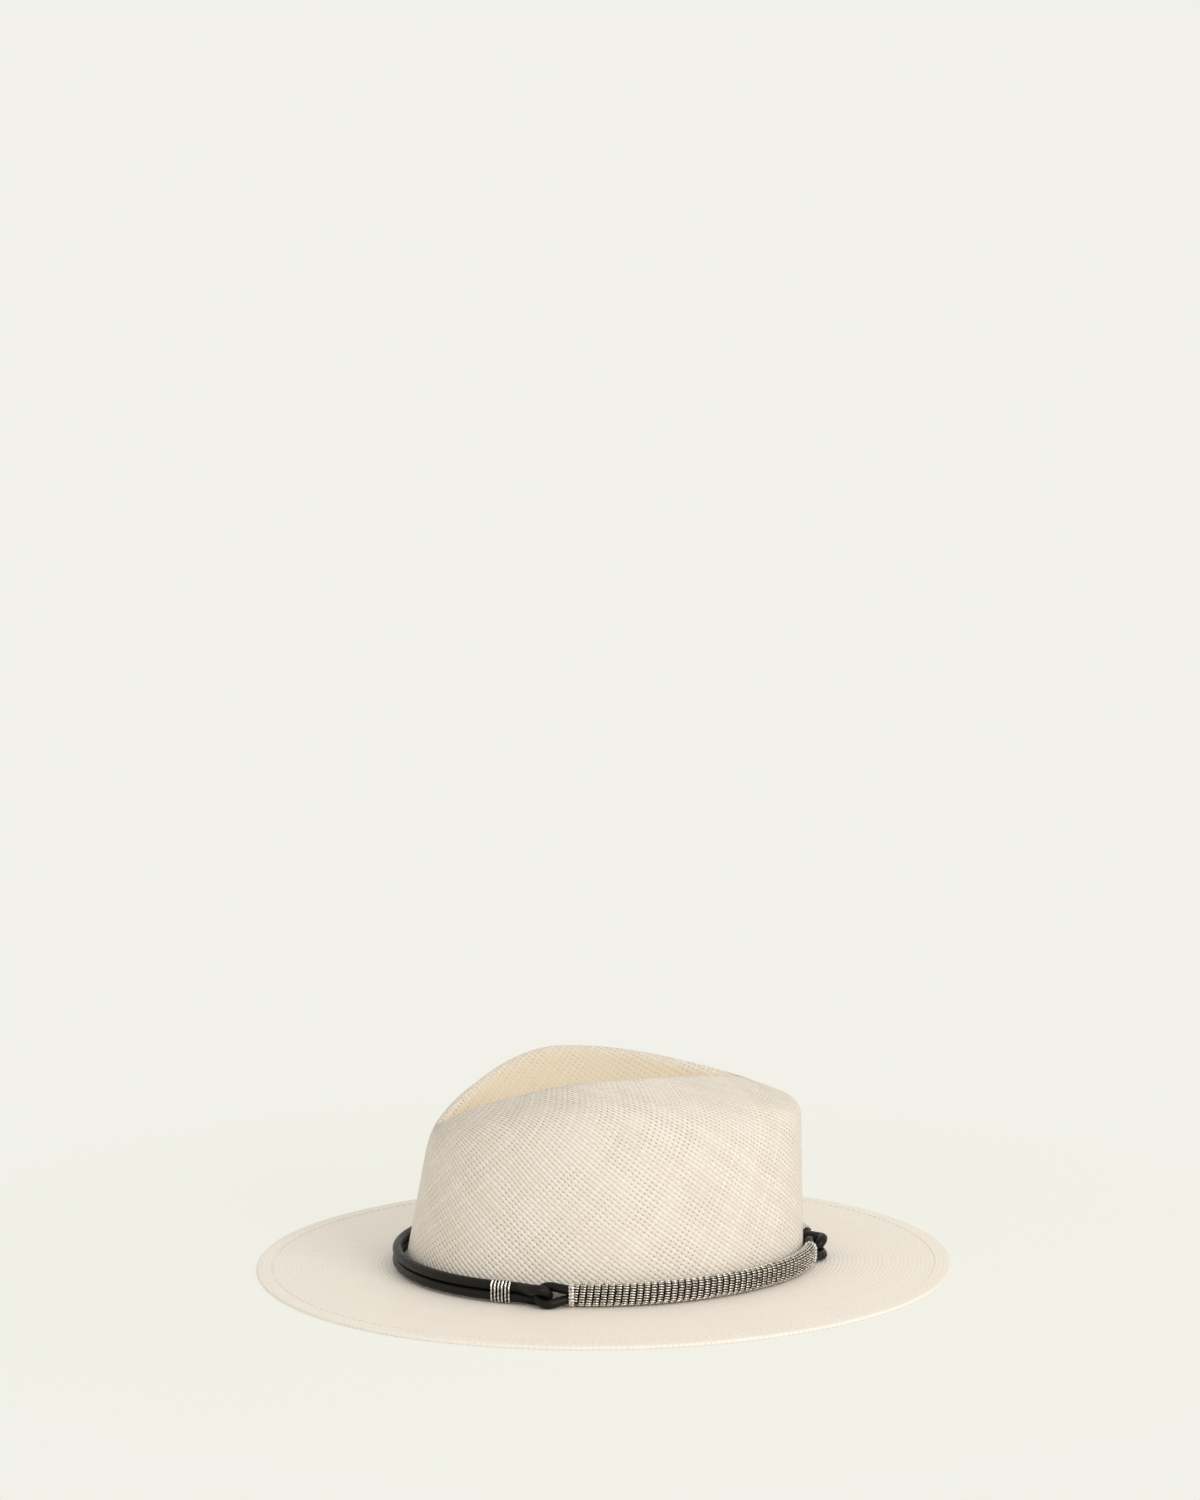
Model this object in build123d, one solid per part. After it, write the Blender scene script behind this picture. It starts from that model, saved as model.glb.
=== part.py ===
from build123d import *
from math import atan2, cos, degrees, radians, sin, sqrt
import os

# Woven straw hat with a wide flat brim, a teardrop crown and a slip-on band of two linked leather cords.
# +Z is up and the brim's turned-under edge rests on z = 0. -X is the front of the hat, +X the back and
# -Y the wearer's left side. The origin is under the middle of the head opening. Millimetres.

# ---- the straw: driving sizes ---------------------------------------------------------------
headline_length = 203.0       # outside of the straw at the head opening, front to back
headline_width = 168.0        # the same, side to side
brim_width = 75.0
crown_height = 106.0          # top of the crest before its edge is rounded
straw = 1.0                   # thickness of the woven straw
hem_width = 10.0              # how far the brim's edge is folded under
edge_round = 0.6

shoulder_inset_front = 11.3   # the shoulder stands inside the headline by these
shoulder_inset_side = 17.3
shoulder_inset_back = 0.7
shoulder_drop_front = 41.0    # and below the crown's height by these
shoulder_drop_side = 15.0
shoulder_drop_back = 25.4
shoulder_round_front = 8.3
shoulder_round_side = 26.0
shoulder_round_back = 5.6

peak_x = -16.5                # the crest is widest and highest here
crest_inset_front = 15.0      # the crest's ends stand inside the headline by these
crest_inset_back = 33.0
crest_half_width = 42.5
crest_tip_half_width = 4.5    # keeps the crest's pointed ends open
crest_drop_front = 27.0
crest_drop_back = 11.0
crest_round = 5.0

dent_depth = 27.0             # the dent's floor below the crown's height
dent_slope = 0.14             # its fall towards the front
dent_inset_front = 29.0
dent_inset_back = 50.0
dent_half_width = 12.0
dent_round = 6.0

# ---- inside the head opening ----------------------------------------------------------------
sweatband_height = 33.0
sweatband_thickness = 1.0
reed_diameter = 2.0
lining_clearance = 0.4        # between the sweatband and the straw
seam_clearance = 0.05         # between pieces that are sewn together
thread_width = 0.5
thread_thickness = 0.25
sweatband_seam_height = 5.0   # the row of stitches above the sweatband's lower edge
hem_seam_inset = 1.5          # the row of stitches inside the hem's fold
bow_length = 22.0
bow_height = 9.0
bow_knot = 4.0
bow_thickness = 1.6

# ---- the band -------------------------------------------------------------------------------
leather_diameter = 5.0        # the long cord that goes round the front and the far side
core_diameter = 4.6           # the short cord inside the chain wrap
cord_clearance = 0.1          # between strands, and between linked cords
band_clearance = 0.4          # between the band and the straw
chain_thickness = 1.1
end_ring_length = 3.0
end_ring_proud = 0.25
binding_wire = 0.8
binding_turns = 6
binding_pitch = 1.8

link_direction_front = 247.0  # where the two cords link, as directions of the headline's normal
link_direction_back = 346.0
link_to_wrap = 12.2           # from the middle of a link to the end of the chain wrap
link_to_binding = 21.3        # from the middle of a link to the middle of its wire binding
swing_lead = 3.5              # straight run before a strand swings out to its link
swing_radius = 5.0

# ---- how finely the crown is described ------------------------------------------------------
ring_points = 36              # points around one ring
corner_steps = 4              # rings from one end of a rounded corner to the other

# ---- sizes that follow ----------------------------------------------------------------------
half_length = headline_length / 2
half_width = headline_width / 2
end_radius = half_width - 0.47 * (half_length - half_width)
end_centre = half_length - end_radius
side_centre = (end_centre**2 + half_width**2 - end_radius**2) / (2 * (half_width - end_radius)) - half_width
side_radius = half_width + side_centre
join_direction = degrees(atan2(side_centre, end_centre))

brim_underside = straw
brim_top = brim_underside + straw
sweatband_inset = straw + lining_clearance
sweatband_bottom = brim_underside + reed_diameter + 2 * seam_clearance
sweatband_top = sweatband_bottom + sweatband_height
sweatband_seam = sweatband_bottom + sweatband_seam_height

leather_offset = (leather_diameter + cord_clearance) / 2
leather_wrapped = leather_diameter / 2 + cord_clearance + binding_wire
leather_grow = band_clearance + leather_wrapped
leather_level = brim_top + cord_clearance + leather_wrapped + leather_offset
core_offset = (core_diameter + cord_clearance) / 2
wrap_bore_width = core_diameter + 2 * cord_clearance
wrap_bore_height = wrap_bore_width + 2 * core_offset
wrap_grow = band_clearance + end_ring_proud + chain_thickness + wrap_bore_width / 2
wrap_level = brim_top + cord_clearance + end_ring_proud + chain_thickness + wrap_bore_height / 2
link_radius = (leather_diameter + core_diameter) / 2 + cord_clearance
link_step = link_radius / sqrt(2)
link_thickest = max(leather_diameter, core_diameter)
link_grow = band_clearance + link_thickest / 2 + link_step
link_level = brim_top + cord_clearance + link_thickest / 2 + link_step


# ---- the head oval, four tangent arcs -------------------------------------------------------
def oval_point(direction, grow=0.0, height=0.0):
    """Point of the oval, grown outwards, where its outward normal has this direction."""
    c, s = cos(radians(direction)), sin(radians(direction))
    if abs(s) < sin(radians(join_direction)):
        return Vector((end_centre if c > 0 else -end_centre) + (end_radius + grow) * c, (end_radius + grow) * s, height)
    return Vector((side_radius + grow) * c, (-side_centre if s > 0 else side_centre) + (side_radius + grow) * s, height)


def oval_turn(direction, distance, grow):
    """Direction of the normal after going this far along the grown oval."""
    on_end = abs(sin(radians(direction))) < sin(radians(join_direction))
    return direction + degrees(distance / ((end_radius if on_end else side_radius) + grow))


def oval_heading(direction):
    """Heading along the oval, towards larger directions."""
    return Vector(-sin(radians(direction)), cos(radians(direction)), 0)


def oval_arcs(start, end, grow, height):
    """The grown oval's arcs from one direction to another."""
    low, high = min(start, end), max(start, end)
    joins = [180 * turn + side * join_direction for turn in range(-2, 5) for side in (-1, 1)]
    stops = [low] + sorted(join for join in joins if low < join < high) + [high]
    if start > end:
        stops.reverse()
    arcs = []
    for first, last in zip(stops, stops[1:]):
        points = [oval_point(direction, grow, height) for direction in (first, (first + last) / 2, last)]
        arcs.append(Edge.make_three_point_arc(*points))
    return arcs


def oval_plate(grow, bottom, top):
    return extrude(Face(Wire(oval_arcs(0, 360, grow, bottom))), top - bottom, dir=(0, 0, 1))


def flat_ring(inner_grow, outer_grow, bottom, top):
    return oval_plate(outer_grow, bottom, top) - oval_plate(inner_grow, bottom, top)


# ---- the crown ------------------------------------------------------------------------------
def plan_point(angle, front, back, centre, half, power=1, tip=0.0):
    """Point of a ring seen from above; its front and back ends are given as x, a power points them."""
    c, s = cos(radians(angle)), sin(radians(angle))
    return centre + abs((front if c < 0 else back) - centre) * c, (half - tip) * s**power + tip * s


def fall(x, front, back, front_fall, back_fall, front_power, back_power):
    """Fall below the peak, growing towards the front and the back end."""
    if x < peak_x:
        return front_fall * ((peak_x - x) / (peak_x - front)) ** front_power
    return back_fall * ((x - peak_x) / (back - peak_x)) ** back_power


def headline_point(angle, height, inset=0.0):
    direction = degrees(atan2(half_length * sin(radians(angle)), half_width * cos(radians(angle))))
    return oval_point(direction, -inset, height)


def shoulder_point(angle, inset=0.0):
    front = shoulder_inset_front + inset - half_length
    back = half_length - shoulder_inset_back - inset
    side = half_width - shoulder_inset_side - inset
    x, y = plan_point(angle, front, back, (front + back) / 2, side)
    front_fall = shoulder_drop_front - shoulder_drop_side
    back_fall = shoulder_drop_back - shoulder_drop_side
    top = crown_height - shoulder_drop_side - inset
    return Vector(x, y, top - fall(x, front, back, front_fall, back_fall, 2.5, 1.3))


def crest_point(angle):
    front, back = crest_inset_front - half_length, half_length - crest_inset_back
    x, y = plan_point(angle, front, back, peak_x, crest_half_width, 3, crest_tip_half_width)
    return Vector(x, y, crown_height - fall(x, front, back, crest_drop_front, crest_drop_back, 1.7, 2))


def dent_point(angle, share=1.0):
    """Edge of the dent's flat floor, or a share of the way out to it from its middle line."""
    front, back = dent_inset_front - half_length, half_length - dent_inset_back
    x, y = plan_point(angle, front, back, peak_x, dent_half_width * share)
    x = peak_x + (x - peak_x) * (1 + share) / 2
    return Vector(x, y, crown_height - dent_depth + dent_slope * (x - peak_x))


def meridian(angle):
    """Points up the wall, over the shoulder and the crest and down to the dent's floor."""
    c = cos(radians(angle))
    shoulder_round_end = shoulder_round_front if c < 0 else shoulder_round_back
    rounds = [shoulder_round_side + (shoulder_round_end - shoulder_round_side) * c * c, crest_round, dent_round]
    corners = [headline_point(angle, brim_underside), shoulder_point(angle), crest_point(angle),
               dent_point(angle), dent_point(angle, 0)]
    points = [corners[0]]
    for before, corner, after, trim in zip(corners, corners[1:], corners[2:], rounds):
        start = corner + (before - corner).normalized() * min(trim, 0.45 * (before - corner).length)
        end = corner + (after - corner).normalized() * min(trim, 0.45 * (after - corner).length)
        for i in range(corner_steps + 1):
            t = i / corner_steps
            points.append(start * (1 - t) ** 2 + corner * 2 * t * (1 - t) + end * t**2)
    return points


def closed_form(rings):
    """Solid through closed rings of points, from the lowest at the headline to the last."""
    return Solid.make_loft([Wire([Edge.make_spline(ring, periodic=True)]) for ring in rings], True)


def crown_form(depth):
    """Everything under the crown's outside, sunk by a depth."""
    grid = [meridian(360 * i / ring_points) for i in range(ring_points)]
    last = len(grid[0]) - 1
    floor_normal = Vector(-dent_slope, 0, 1).normalized()
    rings = []
    for row in range(last + 1):
        ring = []
        for i in range(ring_points):
            along = grid[(i + 1) % ring_points][row] - grid[i - 1][row]
            normal = along.cross(grid[i][min(row + 1, last)] - grid[i][max(row - 1, 0)]).normalized()
            if row == 0:
                normal = Vector(normal.X, normal.Y, 0).normalized()
            if row == last:
                normal = floor_normal
            ring.append(grid[i][row] - normal * depth)
        rings.append(ring)
    return closed_form(rings)


def wall_point(angle, height, inset):
    """Point of the crown's wall, which leans from the headline to the shoulder."""
    foot = headline_point(angle, brim_underside, inset)
    head = shoulder_point(angle, inset)
    return foot + (head - foot) * ((height - foot.Z) / (head.Z - foot.Z))


def wall_ring(bottom, top, inset, thickness):
    """Ring of even thickness that leans with the wall."""
    outer, inner = [
        closed_form([
            [wall_point(360 * i / ring_points, height, depth) for i in range(ring_points)]
            for height in (bottom, top)
        ])
        for depth in (inset, inset + thickness)
    ]
    return outer - inner


def straw_brim():
    bore = closed_form([
        [headline_point(360 * i / ring_points, height, -seam_clearance) for i in range(ring_points)]
        for height in (0, crown_height)
    ])
    brim = oval_plate(brim_width, brim_underside, brim_top) - bore
    return fillet([edge for edge in brim.edges() if on_outer_edge(edge, brim_top)], edge_round)


def brim_hem():
    hem = flat_ring(brim_width - hem_width, brim_width, 0, brim_underside - seam_clearance)
    return fillet([edge for edge in hem.edges() if on_outer_edge(edge, 0)], edge_round)


def on_outer_edge(edge, height):
    """Whether an arc belongs to the brim's outer edge at this height."""
    at_height = abs(edge.center().Z - height) < edge_round / 2
    return at_height and edge.geom_type == GeomType.CIRCLE and edge.radius > end_radius + brim_width - edge_round


def sweatband_bow():
    """Flat ribbon bow over the sweatband's seam at the back, leaning with it."""
    inset = sweatband_inset + sweatband_thickness + 2 * seam_clearance
    middle = sweatband_seam + bow_height
    foot, head = wall_point(0, middle - 1, inset), wall_point(0, middle + 1, inset)
    sagitta = (bow_length / 2) ** 2 / (2 * (end_radius - inset))
    plane = Plane((foot + head) / 2 - Vector(sagitta, 0, 0), x_dir=(0, 1, 0), z_dir=(head - foot).cross(Vector(0, 1, 0)))
    wing = Polyline((0, bow_knot / 3), (bow_length / 2, bow_height / 2), (bow_length / 2, -bow_height / 2),
                    (0, -bow_knot / 3), close=True)
    wings = make_face(wing) + make_face(mirror(wing, Plane.YZ))
    return extrude(plane * (wings + Rectangle(bow_knot, bow_knot)), bow_thickness)


# ---- the band -------------------------------------------------------------------------------
def band_section(direction, grow, height):
    """Plane across the band; its Y points up."""
    heading = oval_heading(direction)
    return Plane(oval_point(direction, grow, height), x_dir=(heading.Y, -heading.X, 0), z_dir=-heading)


def sleeve(start, end, proud=0.0):
    """Sleeve around the doubled core cord; it is as much thicker as it stands proud."""
    path = Wire(oval_arcs(start, end, wrap_grow, wrap_level))
    plane = band_section(start, wrap_grow, wrap_level)
    wall = 2 * (chain_thickness + proud)
    outer = sweep(plane * SlotOverall(wrap_bore_height + wall, wrap_bore_width + wall, rotation=90), path=path)
    return outer - sweep(plane * SlotOverall(wrap_bore_height, wrap_bore_width, rotation=90), path=path)


def wrap_direction(link_direction, sense, distance):
    return oval_turn(link_direction, sense * (link_to_wrap + distance), wrap_grow)


def bight(link_direction, sense, grow, level, offset, reach, top_side):
    """Path in along a cord's upper strand, through the other cord's bight and back along the lower one.

    sense is +1 where the cord comes in towards larger directions, reach is the length of the path's
    straight-laid part before the link's middle, and top_side is +1 where the upper strand passes outside."""
    start_direction = oval_turn(link_direction, -sense * reach, grow)
    lead = oval_heading(start_direction) * sense * swing_lead
    neck = oval_turn(link_direction, -sense * 0.85 * link_radius, link_grow)
    turn = oval_turn(link_direction, sense * link_radius / 2, link_grow)
    strands = []
    for up in (1, -1):
        start = oval_point(start_direction, grow, level + up * offset)
        out = link_grow + up * top_side * link_step
        height = link_level + up * link_step
        strands.append([start, start + lead, oval_point(neck, out, height), oval_point(turn, out, height)])
    radii = [swing_radius, swing_radius, link_radius, link_radius, swing_radius, swing_radius]
    return FilletPolyline(*strands[0], *reversed(strands[1]), radius=radii).edges()


def tube(edges, diameter):
    path = Wire(edges)
    return sweep(Plane(path.position_at(0), z_dir=path.tangent_at(0)) * Circle(diameter / 2), path=path)


def endless_cord(first_link, last_link, sense, grow, level, offset, reach, diameter, top_side):
    """Endless cord laid double along the band, with a bight in each link."""
    start = oval_turn(first_link, -sense * reach, grow)
    end = oval_turn(last_link, sense * reach, grow)
    halves = []
    for link_direction, inward, up in ((first_link, sense, 1), (last_link, -sense, -1)):
        strand = oval_arcs(start, end, grow, level + up * offset)
        halves.append(tube(bight(link_direction, inward, grow, level, offset, reach, top_side) + strand, diameter))
    return halves[0] + halves[1]


def wire_binding(link_direction, sense):
    """Turns of fine wire bound round both strands of the leather cord."""
    slack = 2 * cord_clearance + binding_wire
    turns = []
    for i in range(binding_turns):
        distance = link_to_binding + (i - (binding_turns - 1) / 2) * binding_pitch
        direction = oval_turn(link_direction, sense * distance, leather_grow)
        slot = SlotOverall(2 * leather_offset + leather_diameter + slack, leather_diameter + slack, rotation=90)
        turns.append(tube((band_section(direction, leather_grow, leather_level) * slot).edges(), binding_wire))
    return Compound(turns)


link_back_from_far_side = link_direction_back - 360
parts = {
    "straw_crown": crown_form(0) - crown_form(straw),
    "straw_brim": straw_brim(),
    "brim_hem": brim_hem(),
    "hem_stitching": flat_ring(
        brim_width - hem_width + hem_seam_inset, brim_width - hem_width + hem_seam_inset + thread_width,
        brim_top + seam_clearance, brim_top + seam_clearance + thread_thickness),
    "sweatband": wall_ring(sweatband_bottom, sweatband_top, sweatband_inset, sweatband_thickness),
    "sweatband_stitching": wall_ring(
        sweatband_seam, sweatband_seam + thread_width,
        sweatband_inset + sweatband_thickness + seam_clearance, thread_thickness),
    "sweatband_reed": tube(
        oval_arcs(0, 360, -sweatband_inset - reed_diameter / 2, brim_underside + seam_clearance + reed_diameter / 2),
        reed_diameter),
    "sweatband_bow": sweatband_bow(),
    "leather_cord": endless_cord(
        link_direction_front, link_back_from_far_side, 1, leather_grow, leather_level, leather_offset,
        link_to_binding - binding_turns * binding_pitch / 2, leather_diameter, 1),
    "core_cord": endless_cord(
        link_direction_front, link_direction_back, -1, wrap_grow, wrap_level, core_offset,
        link_to_wrap + end_ring_length, core_diameter, -1),
    "chain_wrap": sleeve(
        wrap_direction(link_direction_front, 1, end_ring_length + cord_clearance),
        wrap_direction(link_direction_back, -1, end_ring_length + cord_clearance)),
    "front_end_ring": sleeve(
        wrap_direction(link_direction_front, 1, 0), wrap_direction(link_direction_front, 1, end_ring_length),
        end_ring_proud),
    "back_end_ring": sleeve(
        wrap_direction(link_direction_back, -1, end_ring_length), wrap_direction(link_direction_back, -1, 0),
        end_ring_proud),
    "front_binding": wire_binding(link_direction_front, -1),
    "back_binding": wire_binding(link_back_from_far_side, 1),
}

os.makedirs("parts", exist_ok=True)
for name, shape in parts.items():
    export_step(shape, f"parts/{name}.step")
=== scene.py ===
# %% [markdown]
# # A woven straw hat with a leather and chain band
# The real hat is one sheet of toquilla straw, woven by hand from the tip of the crown down to the brim,
# steamed over a block and pressed. A leather sweatband is sewn inside the head opening, and a slip-on band
# of two linked leather cords, one of them wrapped in silver chain, lies round the foot of the crown.
# The CAD frame gives every piece its size and place. This script gives each piece its finish.

# %% Load the frame
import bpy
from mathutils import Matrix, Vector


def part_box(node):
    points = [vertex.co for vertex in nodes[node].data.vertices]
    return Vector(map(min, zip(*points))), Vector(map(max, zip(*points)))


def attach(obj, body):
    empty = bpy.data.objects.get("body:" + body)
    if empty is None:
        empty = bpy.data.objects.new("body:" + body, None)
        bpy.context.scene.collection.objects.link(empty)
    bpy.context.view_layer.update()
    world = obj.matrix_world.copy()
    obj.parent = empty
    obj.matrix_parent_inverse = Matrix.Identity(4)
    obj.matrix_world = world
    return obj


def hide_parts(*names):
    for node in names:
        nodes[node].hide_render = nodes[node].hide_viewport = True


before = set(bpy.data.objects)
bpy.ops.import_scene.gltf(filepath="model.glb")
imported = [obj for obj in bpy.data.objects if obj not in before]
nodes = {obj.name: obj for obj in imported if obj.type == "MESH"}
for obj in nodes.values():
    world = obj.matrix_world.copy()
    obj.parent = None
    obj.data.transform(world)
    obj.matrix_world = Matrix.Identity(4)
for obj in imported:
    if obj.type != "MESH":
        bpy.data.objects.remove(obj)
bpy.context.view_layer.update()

# %% The tools that the lesson uses
import random
from math import atan2, ceil, cos, degrees, pi, radians, sin, tan

import bmesh
import bpy
from mathutils import Matrix, Vector

mm = 0.001
scene = bpy.context.scene

# %% [markdown]
# ## The camera
# The hat is seen from in front of its left side and a little above, through a long lens, as in a catalogue.
# A view camera would shift its lens up to put the hat low in the frame. Aiming above the hat does the same
# with no shift, so that the hat can be seen from other sides too.

# %% Camera
view_azimuth = radians(-13.0)
view_elevation = radians(14.9)
view_distance = 2500 * mm
view_lift = radians(5.98)     # the camera aims this far above the hat's origin
view_swing = radians(0.056)   # and this far to its left
lens = 147.2                  # on a frame 36 mm wide

towards_camera = Vector((
    sin(view_azimuth) * cos(view_elevation), -cos(view_azimuth) * cos(view_elevation), sin(view_elevation)))
camera_right = Vector((cos(view_azimuth), sin(view_azimuth), 0))
camera_up = towards_camera.cross(camera_right)
aim = -towards_camera + camera_up * tan(view_lift) - camera_right * tan(view_swing)

camera_data = bpy.data.cameras.new("camera")
camera_data.sensor_fit = "HORIZONTAL"
camera_data.sensor_width = 36
camera_data.lens = lens
camera_data.clip_end = 100
camera = bpy.data.objects.new("camera", camera_data)
camera.location = towards_camera * view_distance
camera.rotation_euler = aim.to_track_quat("-Z", "Y").to_euler()
scene.collection.objects.link(camera)
scene.camera = camera
print("camera at", [round(c, 3) for c in camera.location])

# %% [markdown]
# ## Colours and nodes
# Colours are picked as a screen shows them, in sRGB, but the renderer adds light in linear values, so one
# function turns a hex colour to linear. Another adds any node with its settings and links: a procedural
# finish is only a short list of such calls.

# %% Helpers for materials
def linear(colour):
    """Linear RGBA of an sRGB hex colour."""
    shares = [int(colour[i:i + 2], 16) / 255 for i in (0, 2, 4)]
    return (*[s / 12.92 if s <= 0.04045 else ((s + 0.055) / 1.055) ** 2.4 for s in shares], 1.0)


def add(tree, kind, inputs=None, **settings):
    """Adds a node. An input is a value, or the output of another node that it is linked to."""
    node = tree.nodes.new(kind)
    for name, value in settings.items():
        setattr(node, name, value)
    for key, value in (inputs or {}).items():
        if isinstance(value, bpy.types.NodeSocket):
            tree.links.new(value, node.inputs[key])
        else:
            node.inputs[key].default_value = value
    return node


def new_material(name):
    """A material with nothing but a Principled shader. Returns it, its nodes and the shader."""
    material = bpy.data.materials.new(name)
    material.use_nodes = True
    tree = material.node_tree
    return material, tree, tree.nodes["Principled BSDF"]


print("linear cream:", [round(c, 3) for c in linear("F0E7DF")])

# %% [markdown]
# ## Floor and light
# The hat stands on a pale sweep in a tent of soft light. The floor glows by itself, as a lit sweep does, so
# it stays as pale as the backdrop, and only close to the hat does it also take a faint shadow. The walls of
# the tent are as bright as the floor and its ceiling is a little dimmer. One large soft box, in front and
# to the right, gives the hat its form.

# %% Floor
backdrop_colour = linear("F1F1E9")
floor_radius = 30.0
shadow_core = 0.24            # the floor's shadow fades from this distance from the hat's middle
shadow_reach = 0.42           # and is gone here
shadow_share = 0.16           # of the floor's light that a shadow can take away

floor_mesh = bmesh.new()
bmesh.ops.create_circle(floor_mesh, cap_ends=True, segments=96, radius=floor_radius)
floor_data = bpy.data.meshes.new("studio_floor")
floor_mesh.to_mesh(floor_data)
studio_floor = bpy.data.objects.new("studio_floor", floor_data)
scene.collection.objects.link(studio_floor)

floor_finish, tree, shader = new_material("pale_paper_sweep")
place = add(tree, "ShaderNodeTexCoord").outputs["Object"]
distance = add(tree, "ShaderNodeVectorMath", {0: place}, operation="LENGTH").outputs["Value"]
shaded = add(tree, "ShaderNodeMapRange", {
    "Value": distance, "From Min": shadow_core, "From Max": shadow_reach, "To Min": 1.0, "To Max": 0.0},
    interpolation_type="SMOOTHSTEP").outputs[0]
shader.inputs["Base Color"].default_value = backdrop_colour
shader.inputs["Roughness"].default_value = 0.9
shader.inputs["Specular IOR Level"].default_value = 0.0
glow = add(tree, "ShaderNodeEmission", {"Color": backdrop_colour, "Strength": 1.0}).outputs[0]
faint = add(tree, "ShaderNodeMath", {0: shaded, 1: shadow_share}, operation="MULTIPLY").outputs[0]
paper = add(tree, "ShaderNodeMixShader", {0: faint, 1: glow, 2: shader.outputs[0]}).outputs[0]
tree.links.new(paper, tree.nodes["Material Output"].inputs["Surface"])
floor_data.materials.append(floor_finish)
print("floor radius, metres:", floor_radius)

# %% Walls of the tent
tent_radius = 5.0
tent_height = 3.0
tent_mesh = bmesh.new()
bmesh.ops.create_circle(tent_mesh, segments=96, radius=tent_radius)
risen = bmesh.ops.extrude_edge_only(tent_mesh, edges=tent_mesh.edges[:])["geom"]
rim = [item for item in risen if isinstance(item, bmesh.types.BMVert)]
bmesh.ops.translate(tent_mesh, vec=(0, 0, tent_height), verts=rim)
tent_data = bpy.data.meshes.new("tent_wall")
tent_mesh.to_mesh(tent_data)
tent_wall = bpy.data.objects.new("tent_wall", tent_data)
scene.collection.objects.link(tent_wall)

tent_finish, tree, shader = new_material("glowing_tent_cloth")
glow = add(tree, "ShaderNodeEmission", {"Color": backdrop_colour, "Strength": 1.0}).outputs[0]
tree.links.new(glow, tree.nodes["Material Output"].inputs["Surface"])
tent_data.materials.append(tent_finish)
print("tent radius and height, metres:", tent_radius, tent_height)

# %% Light
hat_middle = 0.05             # height of the hat's middle


def soft_box(name, azimuth, elevation, distance, size, power, colour):
    """A square of light that faces the hat. Angles in degrees, sizes in metres, power in watts."""
    a, e = radians(azimuth), radians(elevation)
    away = Vector((sin(a) * cos(e), -cos(a) * cos(e), sin(e)))
    data = bpy.data.lights.new(name, "AREA")
    data.shape = "SQUARE"
    data.size = size
    data.energy = power
    data.color = linear(colour)[:3]
    box = bpy.data.objects.new(name, data)
    box.location = away * distance + Vector((0, 0, hat_middle))
    box.rotation_euler = away.to_track_quat("Z", "Y").to_euler()
    scene.collection.objects.link(box)
    return box


ceiling_strength = 0.92       # against 1 for the walls
world = bpy.data.worlds.new("light_tent")
world.use_nodes = True
ceiling = world.node_tree.nodes["Background"]
ceiling.inputs["Color"].default_value = backdrop_colour
ceiling.inputs["Strength"].default_value = ceiling_strength
scene.world = world
scene.view_settings.view_transform = "Standard"
soft_box("key_light", 28, 26, 2.2, 1.2, 18, "FFFDF8")

# %% [markdown]
# ## Straw
# Toquilla straw is split palm leaf, pale cream, with a soft shine like dry paper. Two families of strands
# cross over and under each other. One runs down to the back and catches the light as long ridges, the
# other only shows where it dips, and small dark holes are left where four strands meet. A picture could
# be wrapped round the hat, but the strands are better drawn from two numbers that the mesh carries in
# its UV map: how many strands of each family lie between this point and the start.

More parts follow.
